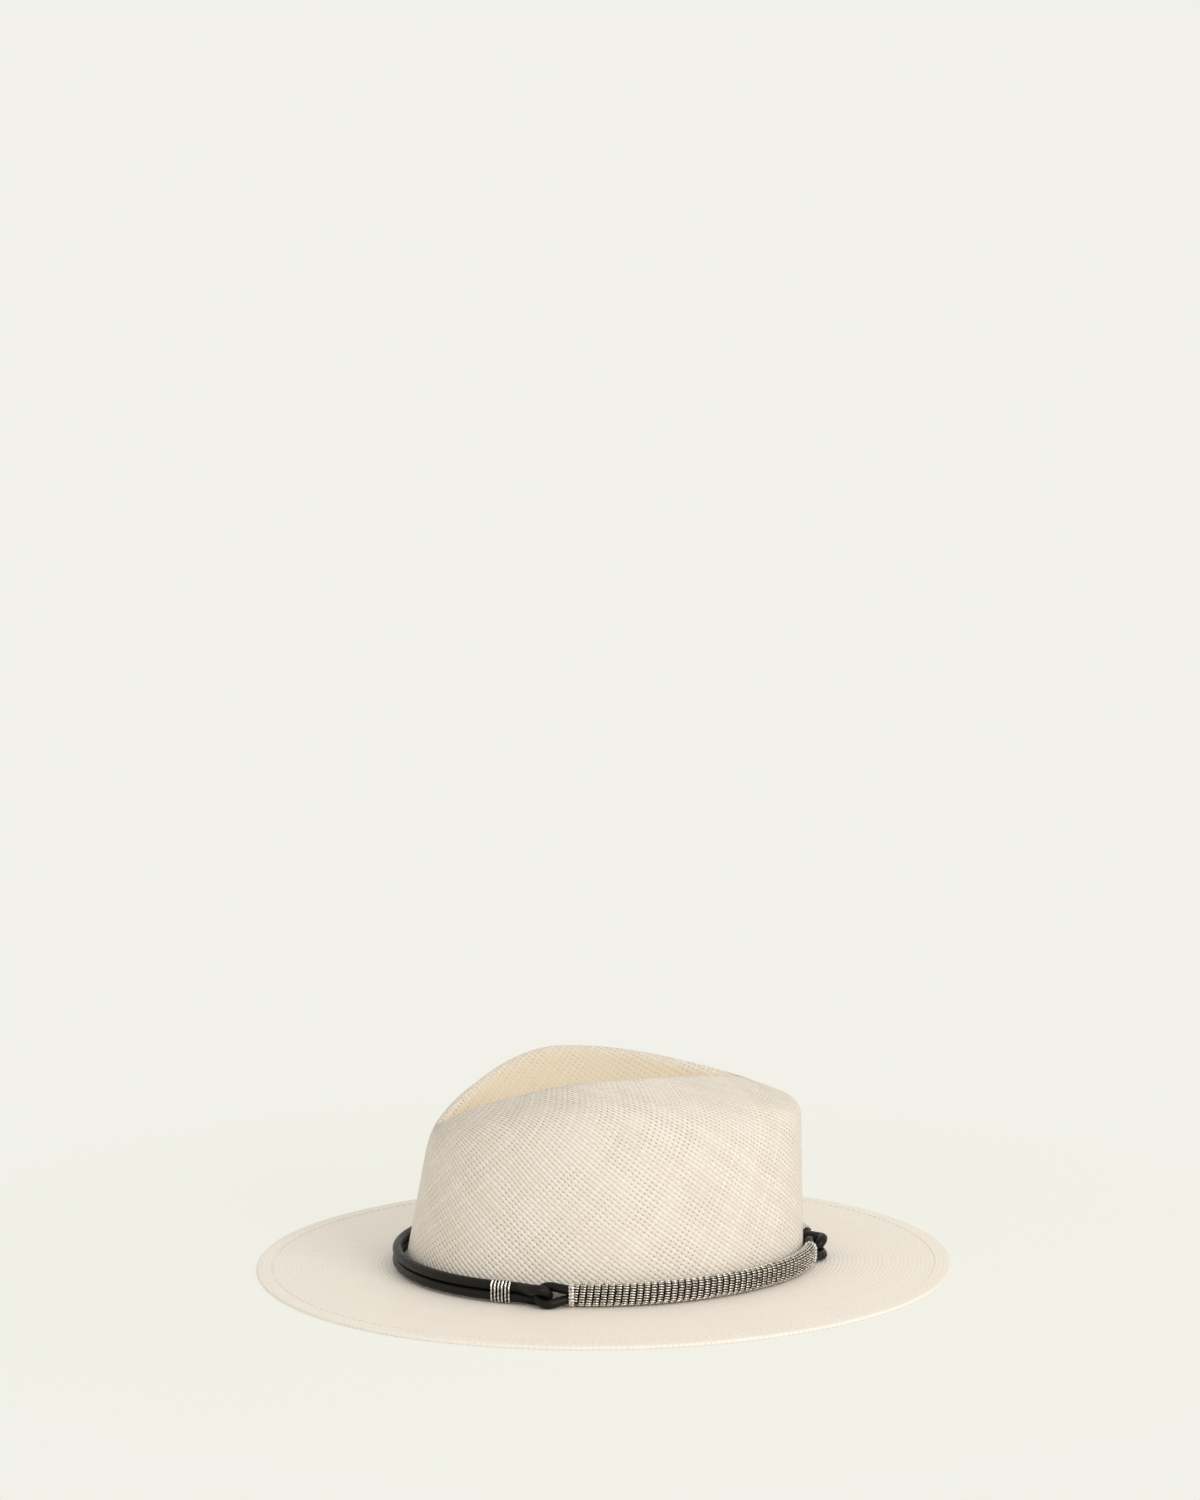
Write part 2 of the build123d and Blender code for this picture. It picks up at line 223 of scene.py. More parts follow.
# %% Straw finish
def woven_straw(name, light, deep, hole_shade_colour, dent_painted_shade, brim_painted_light):
    """Cream strands. UV x and y count the strands of the two families, and three attributes say how strongly
    the weave shows and how much painted shade lies in the dent and painted light on the brim."""
    material, tree, shader = new_material(name)
    place = add(tree, "ShaderNodeTexCoord").outputs["Object"]
    strands = add(tree, "ShaderNodeUVMap", uv_map="weave").outputs["UV"]
    depth = add(tree, "ShaderNodeAttribute", attribute_name="weave_depth").outputs["Fac"]
    # hand-split strands are never quite straight: they wander by up to a quarter of their width
    wander = add(tree, "ShaderNodeTexNoise", {"Vector": place, "Scale": 1 / (12 * mm), "Detail": 2.0})
    shift = add(tree, "ShaderNodeVectorMath", {0: wander.outputs["Color"], 1: (0.5, 0.5, 0.5)},
                operation="SUBTRACT").outputs[0]
    loose = add(tree, "ShaderNodeVectorMath", {0: shift, 1: (0.55, 0.55, 0.0), 2: strands},
                operation="MULTIPLY_ADD").outputs[0]
    count = add(tree, "ShaderNodeSeparateXYZ", {0: loose})
    waves, ridges, tints = [], [], []
    for axis in ("X", "Y"):
        turn = add(tree, "ShaderNodeMath", {0: count.outputs[axis], 1: pi}, operation="MULTIPLY").outputs[0]
        wave = add(tree, "ShaderNodeMath", {0: turn}, operation="SINE").outputs[0]
        ridge = add(tree, "ShaderNodeMath", {0: wave}, operation="ABSOLUTE").outputs[0]
        number = add(tree, "ShaderNodeMath", {0: count.outputs[axis]}, operation="FLOOR").outputs[0]
        tint = add(tree, "ShaderNodeTexWhiteNoise", {"W": number}, noise_dimensions="1D").outputs["Value"]
        waves.append(wave)
        ridges.append(ridge)
        tints.append(tint)
    # the product's sign changes from one crossing to the next, so it says which family lies on top
    both = add(tree, "ShaderNodeMath", {0: waves[0], 1: waves[1]}, operation="MULTIPLY").outputs[0]
    over = add(tree, "ShaderNodeMapRange", {"Value": both, "From Min": -0.35, "From Max": 0.35}).outputs[0]
    dips = add(tree, "ShaderNodeMix", {"Factor": over, 2: ridges[1], 3: 1.0}).outputs[0]
    # the long ridges hold two thirds of the relief, and the strands that cross them one third
    long_ridges = add(tree, "ShaderNodeMath", {0: ridges[0], 1: 0.68}, operation="MULTIPLY").outputs[0]
    height = add(tree, "ShaderNodeMath", {0: dips, 1: 0.32, 2: long_ridges},
                 operation="MULTIPLY_ADD").outputs[0]
    # small holes show where both families are in their grooves, mostly where the weave is slack,
    # and their darkness is painted shade
    low = add(tree, "ShaderNodeMath", {0: ridges[0], 1: ridges[1]}, operation="ADD").outputs[0]
    pit = add(tree, "ShaderNodeMapRange", {
        "Value": low, "From Min": 0.2, "From Max": 0.8, "To Min": 1.0, "To Max": 0.0}).outputs[0]
    slack = add(tree, "ShaderNodeTexNoise", {"Vector": place, "Scale": 1 / (14 * mm), "Detail": 3.0})
    open_here = add(tree, "ShaderNodeMapRange", {
        "Value": slack.outputs["Fac"], "From Min": 0.4, "From Max": 0.62, "To Min": 0.3}).outputs[0]
    pits = add(tree, "ShaderNodeMath", {0: pit, 1: open_here}, operation="MULTIPLY").outputs[0]
    hole_shade = add(tree, "ShaderNodeMath", {0: pits, 1: depth}, operation="MULTIPLY").outputs[0]
    # each strand has its own shade, and the sheet is uneven over a few centimetres
    strand = add(tree, "ShaderNodeMix", {"Factor": over, 2: tints[1], 3: tints[0]}).outputs[0]
    cloud = add(tree, "ShaderNodeTexNoise", {"Vector": place, "Scale": 1 / (35 * mm), "Detail": 3.0})
    shade = add(tree, "ShaderNodeMath", {0: strand, 1: 1.1, 2: cloud.outputs["Fac"]},
                operation="MULTIPLY_ADD").outputs[0]
    shade = add(tree, "ShaderNodeMapRange", {"Value": shade, "From Min": -0.1, "From Max": 2.0}).outputs[0]
    body = add(tree, "ShaderNodeMix", {"Factor": shade, 6: linear(deep), 7: linear(light)},
               data_type="RGBA").outputs[2]
    # painted shade: the colour darkens towards the deep tone where the strands dip into grooves
    groove = add(tree, "ShaderNodeMapRange", {
        "Value": height, "From Min": 0.1, "From Max": 0.65, "To Min": 0.75, "To Max": 0.0}).outputs[0]
    groove_shade = add(tree, "ShaderNodeMath", {0: groove, 1: depth}, operation="MULTIPLY").outputs[0]
    groove_shaded = add(tree, "ShaderNodeMix", {"Factor": groove_shade, 6: body, 7: linear(deep)},
               data_type="RGBA").outputs[2]
    # painted shade and painted light: the dent is painted yellower and the brim paler than this light makes
    # them by itself. Steam and ironing may do that to straw, which is where the names come from, but it is
    # a guess
    # The dent's colour is painted shade with light bounced from the straw, and the brim's colour is painted
    # light
    with_painted_light = groove_shaded
    for attribute, tone in (("dent_painted_shade", dent_painted_shade), ("brim_painted_light", brim_painted_light)):
        amount = add(tree, "ShaderNodeAttribute", attribute_name=attribute).outputs["Fac"]
        with_painted_light = add(tree, "ShaderNodeMix", {"Factor": amount, 6: with_painted_light, 7: linear(tone)},
                      data_type="RGBA").outputs[2]
    colour = add(tree, "ShaderNodeMix", {"Factor": hole_shade, 6: with_painted_light, 7: linear(hole_shade_colour)},
                 data_type="RGBA").outputs[2]
    # leaf fibres run along the strands, drawn coarser than real ones so that they show
    fibre_place = add(tree, "ShaderNodeVectorMath", {0: loose, 1: (5.0, 0.6, 1.0)},
                      operation="MULTIPLY").outputs[0]
    fibre = add(tree, "ShaderNodeTexNoise", {"Vector": fibre_place, "Scale": 1.0, "Detail": 2.0})
    relief = add(tree, "ShaderNodeMath", {0: fibre.outputs["Fac"], 1: 0.18, 2: height},
                 operation="MULTIPLY_ADD").outputs[0]
    bump = add(tree, "ShaderNodeBump", {"Height": relief, "Strength": depth, "Distance": 0.6 * mm}).outputs[0]
    tree.links.new(colour, shader.inputs["Base Color"])
    tree.links.new(bump, shader.inputs["Normal"])
    shader.inputs["Roughness"].default_value = 0.62
    shader.inputs["IOR"].default_value = 1.5
    shader.inputs["Specular IOR Level"].default_value = 0.35
    return material


# the fourth colour is the painted shade in the weave's holes
# the last two colours are the dent's painted shade and the brim's painted light
straw_finish = woven_straw("woven_toquilla_straw", "F0E7DF", "DFD3C5", "7D6D58", "DCC9AF", "F4ECE5")
print("straw nodes:", len(straw_finish.node_tree.nodes))

# %% [markdown]
# ## Leather
# The cords are calf leather rolled round a core and dyed black. The surface is smooth and waxed, with a
# fine pebble grain and creases where a cord bends, so it shows long soft highlights on near black.

# %% Leather finishes
def leather(name, light, deep, roughness, grain, crease):
    """Dyed leather. grain is the size of a pebble and crease the spacing of the creases, in metres."""
    material, tree, shader = new_material(name)
    place = add(tree, "ShaderNodeTexCoord").outputs["Object"]
    pebble = add(tree, "ShaderNodeTexVoronoi", {"Vector": place, "Scale": 1 / grain},
                 feature="SMOOTH_F1").outputs["Distance"]
    folds = add(tree, "ShaderNodeTexNoise", {"Vector": place, "Scale": 1 / crease, "Detail": 4.0,
                                             "Distortion": 0.6}).outputs["Fac"]
    relief = add(tree, "ShaderNodeMath", {0: folds, 1: 2.5, 2: pebble}, operation="MULTIPLY_ADD").outputs[0]
    bump = add(tree, "ShaderNodeBump", {"Height": relief, "Strength": 0.35, "Distance": 0.12 * mm}).outputs[0]
    worn = add(tree, "ShaderNodeTexNoise", {"Vector": place, "Scale": 1 / (4 * crease), "Detail": 3.0})
    colour = add(tree, "ShaderNodeMix", {"Factor": worn.outputs["Fac"], 6: linear(deep), 7: linear(light)},
                 data_type="RGBA").outputs[2]
    gloss = add(tree, "ShaderNodeMapRange", {
        "Value": folds, "From Min": 0.3, "From Max": 0.7, "To Min": roughness - 0.07,
        "To Max": roughness + 0.09}).outputs[0]
    tree.links.new(colour, shader.inputs["Base Color"])
    tree.links.new(gloss, shader.inputs["Roughness"])
    tree.links.new(bump, shader.inputs["Normal"])
    shader.inputs["IOR"].default_value = 1.5
    return material


cord_leather = leather("black_rolled_leather", "17110D", "090705", 0.42, 0.5 * mm, 2.5 * mm)
sweatband_leather = leather("tan_sheepskin", "C9A47C", "B28A62", 0.55, 0.6 * mm, 6 * mm)
# the black cords reflect less than the shader's usual share
cord_leather.node_tree.nodes["Principled BSDF"].inputs["Specular IOR Level"].default_value = 0.22
print("leathers:", cord_leather.name, sweatband_leather.name)

# %% [markdown]
# ## Silver
# The chain and the wire are silver that was blackened and then rubbed, so that the raised places are
# white and bright while sulphide stays dark in the gaps.

# %% Silver finish
def rubbed_silver(name, bright, dark, roughness, patch, share):
    """Blackened silver, rubbed bright. patch is the size of a dark stain, share how much stays dark."""
    material, tree, shader = new_material(name)
    place = add(tree, "ShaderNodeTexCoord").outputs["Object"]
    stain = add(tree, "ShaderNodeTexNoise", {"Vector": place, "Scale": 1 / patch, "Detail": 3.0})
    rubbed = add(tree, "ShaderNodeMapRange", {
        "Value": stain.outputs["Fac"], "From Min": share - 0.1, "From Max": share + 0.14}).outputs[0]
    colour = add(tree, "ShaderNodeMix", {"Factor": rubbed, 6: linear(dark), 7: linear(bright)},
                 data_type="RGBA").outputs[2]
    gloss = add(tree, "ShaderNodeMapRange", {
        "Value": rubbed, "To Min": roughness + 0.2, "To Max": roughness}).outputs[0]
    scratch = add(tree, "ShaderNodeTexNoise", {"Vector": place, "Scale": 1 / (0.15 * mm), "Detail": 2.0})
    bump = add(tree, "ShaderNodeBump", {
        "Height": scratch.outputs["Fac"], "Strength": 0.2, "Distance": 0.03 * mm}).outputs[0]
    tree.links.new(colour, shader.inputs["Base Color"])
    tree.links.new(gloss, shader.inputs["Roughness"])
    tree.links.new(bump, shader.inputs["Normal"])
    shader.inputs["Metallic"].default_value = 1.0
    return material


chain_silver = rubbed_silver("rubbed_silver_chain", "E6DFD5", "3E3730", 0.26, 1.3 * mm, 0.38)
ring_silver = rubbed_silver("polished_silver", "EFEAE3", "5A534A", 0.25, 1.1 * mm, 0.34)
print("silvers:", chain_silver.name, ring_silver.name)

# %% [markdown]
# ## The head oval
# A hat's opening is a long oval. The block maker draws it as four tangent arcs, two small ones at the ends
# and two large ones at the sides. Everything that goes round the head follows this oval, grown or shrunk.

# %% Head oval
half_length, half_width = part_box("straw_crown")[1].xy
end_radius = half_width - 0.47 * (half_length - half_width)
end_centre = half_length - end_radius
side_centre = (end_centre**2 + half_width**2 - end_radius**2) / (2 * (half_width - end_radius)) - half_width
side_radius = half_width + side_centre
join_direction = atan2(side_centre, end_centre)


def on_end(direction):
    return abs(sin(radians(direction))) < sin(join_direction)


def oval_point(direction, grow=0.0, height=0.0):
    """Point of the oval, grown outwards, where its outward normal has this direction."""
    c, s = cos(radians(direction)), sin(radians(direction))
    if on_end(direction):
        x = end_centre if c > 0 else -end_centre
        return Vector((x + (end_radius + grow) * c, (end_radius + grow) * s, height))
    y = -side_centre if s > 0 else side_centre
    return Vector(((side_radius + grow) * c, y + (side_radius + grow) * s, height))


def walk(start, end, grow, spacing):
    """Directions about a spacing apart, in even steps along the grown oval, both ends included."""
    fine = 0.1
    steps = ceil(abs(end - start) / fine)
    directions = [start + (end - start) * i / steps for i in range(steps + 1)]
    lengths = [0.0]
    for first, last in zip(directions, directions[1:]):
        lengths.append(lengths[-1] + (oval_point(last, grow) - oval_point(first, grow)).length)
    count = max(1, round(lengths[-1] / spacing))
    even, i = [], 0
    for n in range(count + 1):
        wanted = lengths[-1] * n / count
        while i < steps - 1 and lengths[i + 1] < wanted:
            i += 1
        share = (wanted - lengths[i]) / (lengths[i + 1] - lengths[i])
        even.append(directions[i] + (directions[i + 1] - directions[i]) * share)
    return even


headline = sum((oval_point(d + 1) - oval_point(d)).length for d in range(360))
print("head opening, mm round:", round(headline / mm, 1))

# %% [markdown]
# ## The shape of the straw
# The hatter presses the crown into a teardrop: the wall leans in to a soft shoulder, rises to a crest and
# falls into a dent. Seen in section it is a line with rounded corners, and that line changes evenly round
# the hat. Such a surface could be sculpted, but a section that is swept round gives an even sheet whose
# rows and columns the weave can follow. The corners are the same as the frame's.

# %% Section of the hat
brim_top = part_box("straw_brim")[1].z
brim_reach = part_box("straw_brim")[1].x - half_length
crown_peak = 106 * mm         # the crest's corner before it is rounded
peak_x = -16.5 * mm           # the crest is widest and highest here
fold_radius = brim_top / 2
hem_width = 10 * mm
foot_round = 3 * mm
crest_round = 5 * mm
dent_round = 6 * mm
dent_slope = 0.14


def plan_point(angle, front, back, centre, half, power=1, tip=0.0):
    """Point of a ring seen from above; its front and back ends are given as x, a power points them."""
    c, s = cos(radians(angle)), sin(radians(angle))
    return centre + abs((front if c < 0 else back) - centre) * c, (half - tip) * s**power + tip * s


def fall(x, front, back, front_fall, back_fall, front_power, back_power):
    """Fall below the peak, growing towards the front and the back end."""
    if x < peak_x:
        return front_fall * ((peak_x - x) / (peak_x - front)) ** front_power
    return back_fall * ((x - peak_x) / (back - peak_x)) ** back_power


def headline_direction(angle):
    return degrees(atan2(half_length * sin(radians(angle)), half_width * cos(radians(angle))))


def shoulder_point(angle, inset=0.0):
    front, back = 11.3 * mm + inset - half_length, half_length - 0.7 * mm - inset
    x, y = plan_point(angle, front, back, (front + back) / 2, half_width - 17.3 * mm - inset)
    drop = fall(x, front, back, 26 * mm, 10.4 * mm, 2.5, 1.3)
    return Vector((x, y, crown_peak - 15 * mm - inset - drop))


def crest_point(angle):
    front, back = 15 * mm - half_length, half_length - 33 * mm
    x, y = plan_point(angle, front, back, peak_x, 42.5 * mm, 3, 4.5 * mm)
    return Vector((x, y, crown_peak - fall(x, front, back, 27 * mm, 11 * mm, 1.7, 2)))


def dent_point(angle, share=1.0):
    """Edge of the dent's floor, or a share of the way out to it from its middle line."""
    front, back = 29 * mm - half_length, half_length - 50 * mm
    x, y = plan_point(angle, front, back, peak_x, 12 * mm * share)
    x = peak_x + (x - peak_x) * (1 + share) / 2
    return Vector((x, y, crown_peak - 27 * mm + dent_slope * (x - peak_x)))


leg_steps = (26, 22, 8, 6, 5)      # rows along the brim, the wall, the flank, the dent's wall and its floor
corner_steps = (4, 8, 6, 5)        # rows round the foot, the shoulder, the crest and the dent's edge
hem_steps = 5
fold_steps = 6


def straw_section(angle):
    """Points from the folded hem round the brim's edge, over the brim and up the crown to its middle."""
    direction = headline_direction(angle)
    hem_edge = oval_point(direction, brim_reach - hem_width)
    hem_end = oval_point(direction, brim_reach - fold_radius)
    points = [hem_edge.lerp(hem_end, i / hem_steps) for i in range(hem_steps)]
    for i in range(fold_steps):
        turn = pi * i / fold_steps
        grow = brim_reach - fold_radius + fold_radius * sin(turn)
        points.append(oval_point(direction, grow, fold_radius - fold_radius * cos(turn)))
    c = cos(radians(angle))
    shoulder_round = 26 * mm + ((8.3 if c < 0 else 5.6) - 26) * mm * c * c
    trims = (foot_round, shoulder_round, crest_round, dent_round)
    corners = [oval_point(direction, brim_reach - fold_radius, brim_top), oval_point(direction, 0, brim_top),
               shoulder_point(angle), crest_point(angle), dent_point(angle), dent_point(angle, 0)]
    here = corners[0]
    for i, trim in enumerate(trims):
        before, corner, after = corners[i:i + 3]
        start = corner + (before - corner).normalized() * min(trim, 0.45 * (before - corner).length)
        end = corner + (after - corner).normalized() * min(trim, 0.45 * (after - corner).length)
        points += [here.lerp(start, n / leg_steps[i]) for n in range(leg_steps[i])]
        for n in range(corner_steps[i]):
            t = n / corner_steps[i]
            points.append(start * (1 - t) ** 2 + corner * 2 * t * (1 - t) + end * t**2)
        here = end
    points += [here.lerp(corners[-1], n / leg_steps[-1]) for n in range(leg_steps[-1] + 1)]
    return points


foot_row = hem_steps + fold_steps + leg_steps[0] + corner_steps[0] // 2
crest_row = foot_row + corner_steps[0] // 2 + sum(leg_steps[1:3]) + corner_steps[1] + corner_steps[2] // 2
section = straw_section(180)
print("points in the section:", len(section), "front, mm high:", round(max(p.z for p in section) / mm, 1))

# %% [markdown]
# ## Skinning rings
# Many pieces here are a ring of points that is carried along: a sheet swept round, a tube along a route.
# A bmesh circle is the first ring. Its edges are extruded once for each next ring, and each new vertex
# remembers its column, so that it can be put where it belongs.

# %% Helpers for meshes
def skin(rings):
    """Surface over rings of points, extruded ring by ring. Vertices keep their row and column."""
    mesh = bmesh.new()
    column = mesh.verts.layers.int.new("column")
    row = mesh.verts.layers.int.new("row")
    ring = bmesh.ops.create_circle(mesh, segments=len(rings[0]), radius=1)["verts"]
    for i, vert in enumerate(ring):
        vert[column] = i
    edges = mesh.edges[:]
    for level, points in enumerate(rings):
        if level:
            made = bmesh.ops.extrude_edge_only(mesh, edges=edges)["geom"]
            ring = [item for item in made if isinstance(item, bmesh.types.BMVert)]
        for vert in ring:
            vert[row] = level
            vert.co = points[vert[column]]
        if level:
            edges = [item for item in made if isinstance(item, bmesh.types.BMEdge)
                     and all(vert[row] == level for vert in item.verts)]
    return mesh


def close_up(mesh, gap=0.001 * mm):
    """Merges what lies in one place and turns the faces outwards."""
    bmesh.ops.remove_doubles(mesh, verts=mesh.verts[:], dist=gap)
    bmesh.ops.recalc_face_normals(mesh, faces=mesh.faces[:])


def circle_round(centre, across, up, radius, sides):
    return [centre + (across * cos(2 * pi * i / sides) + up * sin(2 * pi * i / sides)) * radius
            for i in range(sides)]


def tube(points, radius, sides, closed=False):
    """Tube along a line of points. A closed one ends in its first ring, an open one in two flat ends."""
    rings, last = [], len(points) - 1
    for i, point in enumerate(points):
        if closed:
            heading = (points[(i + 1) % (last + 1)] - points[i - 1]).normalized()
        else:
            heading = (points[min(i + 1, last)] - points[max(i - 1, 0)]).normalized()
        if not rings:
            across = heading.orthogonal().normalized()
        across = (across - heading * across.dot(heading)).normalized()
        rings.append(circle_round(point, across, heading.cross(across), radius, sides))
    if closed:
        # the frame may have turned on the way round, so the last ring starts at the nearest side
        turn = min(range(sides), key=lambda k: (rings[-1][k] - rings[0][0]).length)
        rings.append([rings[0][(i - turn) % sides] for i in range(sides)])
    mesh = skin(rings)
    if not closed:
        bmesh.ops.holes_fill(mesh, edges=[edge for edge in mesh.edges if edge.is_boundary])
    close_up(mesh)
    return mesh


def join(meshes):
    """One bmesh that holds several."""
    whole = bmesh.new()
    for mesh in meshes:
        data = bpy.data.meshes.new("part_of_piece")
        mesh.to_mesh(data)
        mesh.free()
        whole.from_mesh(data)
        bpy.data.meshes.remove(data)
    return whole


def piece(name, mesh, material, body, replaced=(), sharp=50):
    """Makes the object of a finished mesh. It rides on a body and stands for CAD nodes."""
    data = bpy.data.meshes.new(name)
    mesh.to_mesh(data)
    mesh.free()
    data.materials.append(material)
    data.shade_smooth()
    data.set_sharp_from_angle(angle=radians(sharp))
    made = bpy.data.objects.new(name, data)
    scene.collection.objects.link(made)
    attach(made, body)
    if replaced:
        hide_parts(*replaced)
    print(name, "faces:", len(data.polygons))
    return made


print("mesh helpers ready")

# %% [markdown]
# ## The woven sheet
# Crown, brim and hem are one sheet of straw, so here they are one mesh: 240 sections side by side. The
# weave's count of strands is added up along the headline and up the sections. It closes after a whole
# number of strands, and it starts anew at the crest's fold, where the dent is turned in.

# %% Woven straw sheet
columns = 240
ridge_pitch = 2.2 * mm        # between the long ridges
cross_pitch = 3.0 * mm        # between the strands that cross them
rays_per_metre = 640          # strands that run out over the brim, counted along the headline
dent_pitches = 3.1 * mm, 3.4 * mm
straw_thickness = 0.9 * mm

angles = [360 * i / columns for i in range(columns)]
sections = [straw_section(angle) for angle in angles]
sheet = skin([[section[row] for section in sections] for row in range(len(sections[0]))])


def strand_count(pitch, slope):
    """Strands along the headline up to each column, and strands for each metre up the wall."""
    along, rising = [0.0], []
    for i, angle in enumerate(angles):
        lean = slope(headline_direction(angle) % 360)
        there = oval_point(headline_direction(angle + 360 / columns))
        along.append(along[-1] + cos(lean) / pitch * (there - oval_point(headline_direction(angle))).length)
        rising.append(sin(lean) / pitch)
    whole = round(along[-1]) / along[-1]
    return [count * whole for count in along], rising + rising[:1]


def ridge_lean(direction):
    """Slope of the long ridges against the brim; it hardly changes round the hat."""
    return radians(54 + 3 * cos(radians(direction)))


def cross_lean(direction):
    """Slope of the crossing strands, which are steepest near the front."""
    return radians(-42 - 17 * cos(radians(direction - 170)))


ridge_count = strand_count(ridge_pitch, ridge_lean)
cross_count = strand_count(cross_pitch, cross_lean)
climbs = []
for section in sections:
    climb = [0.0] * (foot_row + 1)
    for row in range(foot_row + 1, len(section)):
        climb.append(climb[-1] + (section[row] - section[row - 1]).length)
    climbs.append(climb)

brim_rays = round(headline * rays_per_metre)
column = sheet.verts.layers.int["column"]
row = sheet.verts.layers.int["row"]
weave = sheet.loops.layers.uv.new("weave")
depth = sheet.verts.layers.float.new("weave_depth")
dent_painted_shade = sheet.verts.layers.float.new("dent_painted_shade")
brim_painted_light = sheet.verts.layers.float.new("brim_painted_light")
for face in sheet.faces:
    lowest = min(vert[row] for vert in face.verts)
    wraps = {0, columns - 1} <= {vert[column] for vert in face.verts}
    for loop in face.loops:
        vert = loop.vert
        c = columns if wraps and vert[column] == 0 else vert[column]
        if lowest < foot_row:
            foot = oval_point(headline_direction(360 * c / columns))
            reach = (sections[c % columns][vert[row]] - foot).xy.length
            loop[weave].uv = (reach / ridge_pitch, brim_rays * c / columns)
        elif lowest < crest_row:
            climb = climbs[c % columns][vert[row]]
            loop[weave].uv = [count[0][c] + count[1][c] * climb for count in (ridge_count, cross_count)]
        else:
            across = vert.co.x + vert.co.y, vert.co.x - vert.co.y
            loop[weave].uv = [run / pitch for run, pitch in zip(across, dent_pitches)]
# the weave grows clear over the first six rows of the wall and is pressed flat inside the crest
for vert in sheet.verts:
    steep = min(1.0, max(0.0, (vert[row] - foot_row) / 6))
    dented = min(1.0, max(0.0, (vert[row] - crest_row) / 4))
    vert[depth] = 0.22 + 0.68 * steep - 0.45 * dented
    # painted shade and bounced light in the dent, and painted light on the brim
    vert[dent_painted_shade] = 0.75 * dented
    vert[brim_painted_light] = 0.75 * (1 - steep)
close_up(sheet)
straw_sheet = piece("woven_straw", sheet, straw_finish, "hat",
                    ("straw_crown", "straw_brim", "brim_hem"), sharp=180)
wall = straw_sheet.modifiers.new("thickness", "SOLIDIFY")
wall.thickness = straw_thickness
wall.offset = -1

# %% [markdown]
# ## The hem's stitches
# The edge of the brim is folded under and sewn down with thread in the colour of the straw. A stitch is a
# short rounded bar half sunk in the straw. There are hundreds, so each is a box with its edges bevelled.

# %% Stitches
def bars(places, size, round_off):
    """Bevelled boxes, one at each matrix."""
    mesh = bmesh.new()
    shape = Matrix.Diagonal((*size, 1))
    for place in places:
        bmesh.ops.create_cube(mesh, size=1, matrix=place @ shape)
    bmesh.ops.bevel(mesh, geom=mesh.edges[:], offset=round_off, offset_type="OFFSET", segments=1,
                    profile=0.5, affect="EDGES", material=-1)
    return mesh


def frame_at(origin, along, out):
    """Matrix whose x axis runs along, and whose z axis points out."""
    along = along.normalized()
    side = out.cross(along).normalized()
    matrix = Matrix((along, side, along.cross(side))).transposed().to_4x4()
    matrix.translation = origin
    return matrix


def heading_at(direction):
    return Vector((-sin(radians(direction)), cos(radians(direction)), 0))


up = Vector((0, 0, 1))


def thread(name, colour, shade):
    """Spun cotton thread: soft, matt, with the twist showing as fine slanting lines."""
    material, tree, shader = new_material(name)
    place = add(tree, "ShaderNodeTexCoord").outputs["Object"]
    twist = add(tree, "ShaderNodeTexWave", {"Vector": place, "Scale": 1 / (2.5 * mm), "Distortion": 2.0},
                bands_direction="DIAGONAL").outputs["Fac"]
    # painted shade: the colour darkens in the twist's grooves, where the bump is low
    colours = add(tree, "ShaderNodeMix", {"Factor": twist, 6: linear(shade), 7: linear(colour)},
                  data_type="RGBA").outputs[2]
    bump = add(tree, "ShaderNodeBump", {"Height": twist, "Strength": 0.5, "Distance": 0.08 * mm}).outputs[0]
    tree.links.new(colours, shader.inputs["Base Color"])
    tree.links.new(bump, shader.inputs["Normal"])
    shader.inputs["Roughness"].default_value = 0.8
    shader.inputs["Sheen Weight"].default_value = 0.3
    return material


straw_thread = thread("cream_cotton_thread", "EFE5D9", "E0D3C2")
stitch_length = 2.6 * mm
stitch_spacing = 4.2 * mm
stitch_width = 0.5 * mm
stitch_height = 0.35 * mm
stitch_round = 0.12 * mm
hem_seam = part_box("hem_stitching")[1].x - half_length - stitch_width / 2
stitch_places = [
    frame_at(oval_point(d, hem_seam, brim_top + stitch_height / 4), heading_at(d), up)
    for d in walk(0, 360, hem_seam, stitch_spacing)[:-1]
]
piece("hem_stitches", bars(stitch_places, (stitch_length, stitch_width, stitch_height), stitch_round),
      straw_thread, "hat", ("hem_stitching",))

# %% [markdown]
# ## The sweatband
# Inside the opening runs a strip of thin sheepskin. Its lower edge is sewn to the straw round a thin reed,
# and its upper edge is free and waves a little. The section is a rounded strip that leans with the wall.

# %% Sweatband
band_low, band_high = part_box("sweatband")
lining_inset = half_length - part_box("sweatband")[1].x
lining_thickness = 1.0 * mm


def wall_point(angle, height, inset):
    """Point inside the crown's wall, which leans from the headline to the shoulder."""
    foot = oval_point(headline_direction(angle), -inset, brim_top / 2)
    head = shoulder_point(angle, inset)
    return foot.lerp(head, (height - foot.z) / (head.z - foot.z))


def lining_point(angle, height, depth):
    """Point of the sweatband; the free edge waves inwards by a fraction of a millimetre."""
    free = max(0.0, (height - band_low.z) / (band_high.z - band_low.z) - 0.4)
    wave = 0.5 * mm * free * (1 + sin(radians(7 * angle)) * cos(radians(3 * angle)))
    return wall_point(angle, height, lining_inset + depth + wave)


lining_rows = []
heights = [band_low.z + (band_high.z - band_low.z) * i / 10 for i in range(11)]
soft = 0.3 * mm
for height in heights:
    rounding = soft if height in (heights[0], heights[-1]) else 0
    lining_rows.append((height, rounding))
for height in reversed(heights):
    rounding = soft if height in (heights[0], heights[-1]) else 0
    lining_rows.append((height, lining_thickness - rounding))
lining_rows.append(lining_rows[0])
lining_angles = range(0, 360, 2)
lining = skin([[lining_point(angle, *place) for angle in lining_angles] for place in lining_rows])
close_up(lining)
piece("leather_sweatband", lining, sweatband_leather, "hat", ("sweatband",))

